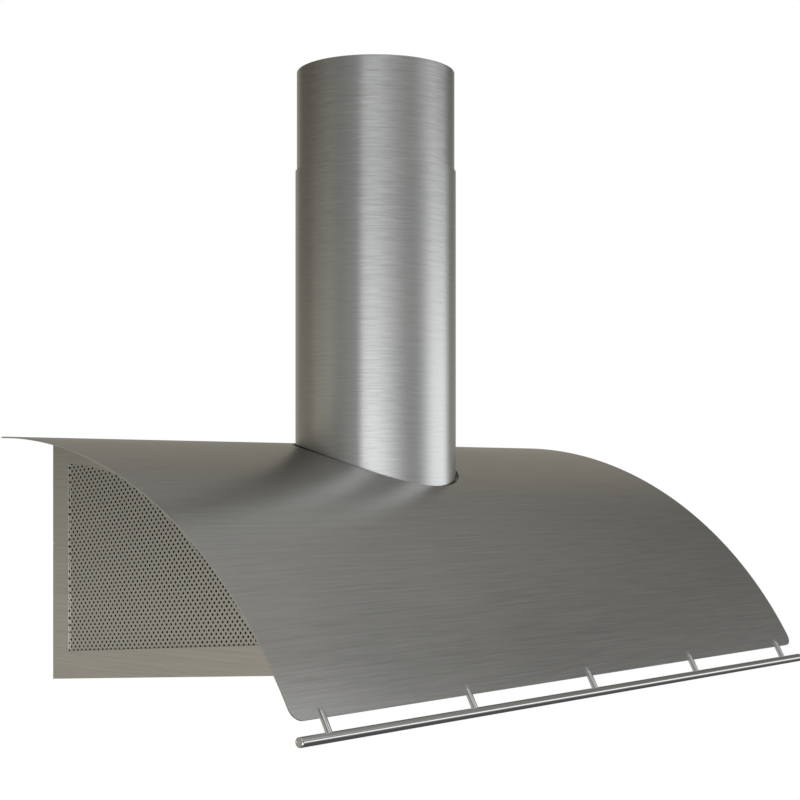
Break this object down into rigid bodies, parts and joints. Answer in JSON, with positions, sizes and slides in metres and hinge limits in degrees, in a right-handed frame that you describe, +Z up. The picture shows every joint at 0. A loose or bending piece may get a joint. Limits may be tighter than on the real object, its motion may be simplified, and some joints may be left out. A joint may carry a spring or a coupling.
{
  "type": "wall mount range hood",
  "caption": "Wall mounted range hood: curved sheet canopy over a body with perforated sides, round telescopic duct cover and front rail.",
  "frame": {"origin": "centre of the four wall screw holes, on the plane of the wall", "axes": "+X to the right as seen from the room, +Y into the wall, +Z up"},
  "size_m": [0.904, 0.4365, 0.7133],
  "materials": {
    "canopy": "fine grain along the width",
    "cover": "fine grain round the tube",
    "side": "fine satin grain",
    "screen": "perforated satin sheet",
    "rail": "turned grain round the bar",
    "filter": "bright rolled",
    "wire": "drawn wire",
    "galvanised": "zinc coated sheet",
    "bezel": "satin ring",
    "lens": "frosted",
    "lamp_can": "cast",
    "button": "metal look",
    "dark_plastic": "moulded",
    "grey_plastic": "moulded",
    "white_plastic": "moulded",
    "board": "coated board",
    "wheel": "rolled",
    "motor": "satin",
    "fastener": "zinc",
    "magnet": "matte",
    "damper": "mill"
  },
  "bodies": {
    "hood": {"canopy": "canopy", "side_panel_left": "side", "side_panel_right": "side", "side_screen_left": "screen", "side_screen_right": "screen", "rear_panel": "galvanised", "floor_pan": "side", "deck": "galvanised", "cover_ring": "galvanised", "cover_lower": "cover", "rail": "rail", "rail_cap_left": "rail", "rail_cap_right": "rail", "rail_post_1": "rail", "rail_post_2": "rail", "rail_post_3": "rail", "rail_post_4": "rail", "rail_post_5": "rail", "filter_magnets": "magnet", "lamp_can_left": "lamp_can", "lamp_can_right": "lamp_can", "lamp_bezel_left": "bezel", "lamp_bezel_right": "bezel", "lamp_lens_left": "lens", "lamp_lens_right": "lens", "control_case": "dark_plastic", "control_board": "board", "scroll_left": "galvanised", "scroll_right": "galvanised", "motor": "motor", "motor_bracket": "galvanised", "duct_collar": "galvanised", "damper_pin": "fastener", "wiring_box": "grey_plastic", "wiring_lid": "grey_plastic", "terminal_block": "white_plastic", "capacitor": "white_plastic", "cable_gland": "dark_plastic", "deck_screws": "fastener", "canopy_studs": "fastener"},
    "upper_cover": {"cover_upper": "cover", "cover_bracket": "galvanised"},
    "filter_left": {"filter_frame_left": "filter", "filter_baffles_left": "filter"},
    "filter_right": {"filter_frame_right": "filter", "filter_baffles_right": "filter"},
    "pull_left": {"filter_pull_left": "wire"},
    "pull_right": {"filter_pull_right": "wire"},
    "blower_wheel": {"wheel": "wheel", "motor_shaft": "fastener", "wheel_nut": "fastener"},
    "front_damper": {"damper_front": "damper"},
    "rear_damper": {"damper_rear": "damper"},
    "light_button": {"button_light": "button"},
    "off_button": {"button_off": "button"},
    "low_button": {"button_low": "button"},
    "middle_button": {"button_middle": "button"},
    "high_button": {"button_high": "button"}
  },
  "joints": [
    {"name": "cover_slide", "type": "slide", "parent": "hood", "child": "upper_cover", "axis": [0, 0, 1], "range_m": [-0.06, 0.2]},
    {"name": "filter_left_hinge", "type": "hinge", "parent": "hood", "child": "filter_left", "pos_m": [-0.183, -0.03167, -0.11482], "axis": [1, 0, 0], "range_deg": [0, 60]},
    {"name": "filter_right_hinge", "type": "hinge", "parent": "hood", "child": "filter_right", "pos_m": [0.183, -0.03167, -0.11482], "axis": [1, 0, 0], "range_deg": [0, 60]},
    {"name": "pull_left_hinge", "type": "hinge", "parent": "filter_left", "child": "pull_left", "pos_m": [-0.183, -0.29113, -0.09734], "axis": [1, 0, 0], "range_deg": [-75, 75]},
    {"name": "pull_right_hinge", "type": "hinge", "parent": "filter_right", "child": "pull_right", "pos_m": [0.183, -0.29113, -0.09734], "axis": [1, 0, 0], "range_deg": [-75, 75]},
    {"name": "light_press", "type": "slide", "parent": "hood", "child": "light_button", "axis": [0, 0.0872, 0.9962], "range_m": [0, 0.0015], "stiffness_N_per_m": 400, "springref_m": -0.001},
    {"name": "off_press", "type": "slide", "parent": "hood", "child": "off_button", "axis": [0, 0.0872, 0.9962], "range_m": [0, 0.0015], "stiffness_N_per_m": 400, "springref_m": -0.001},
    {"name": "low_press", "type": "slide", "parent": "hood", "child": "low_button", "axis": [0, 0.0872, 0.9962], "range_m": [0, 0.0015], "stiffness_N_per_m": 400, "springref_m": -0.001},
    {"name": "middle_press", "type": "slide", "parent": "hood", "child": "middle_button", "axis": [0, 0.0872, 0.9962], "range_m": [0, 0.0015], "stiffness_N_per_m": 400, "springref_m": -0.001},
    {"name": "high_press", "type": "slide", "parent": "hood", "child": "high_button", "axis": [0, 0.0872, 0.9962], "range_m": [0, 0.0015], "stiffness_N_per_m": 400, "springref_m": -0.001},
    {"name": "wheel_spin", "type": "hinge", "parent": "hood", "child": "blower_wheel", "pos_m": [0, -0.1577, -0.004], "axis": [1, 0, 0], "continuous": true},
    {"name": "front_damper_hinge", "type": "hinge", "parent": "hood", "child": "front_damper", "pos_m": [0, -0.1157, 0.1005], "axis": [-1, 0, 0], "range_deg": [0, 78]},
    {"name": "rear_damper_hinge", "type": "hinge", "parent": "hood", "child": "rear_damper", "pos_m": [0, -0.1157, 0.1005], "axis": [1, 0, 0], "range_deg": [0, 78]}
  ]
}
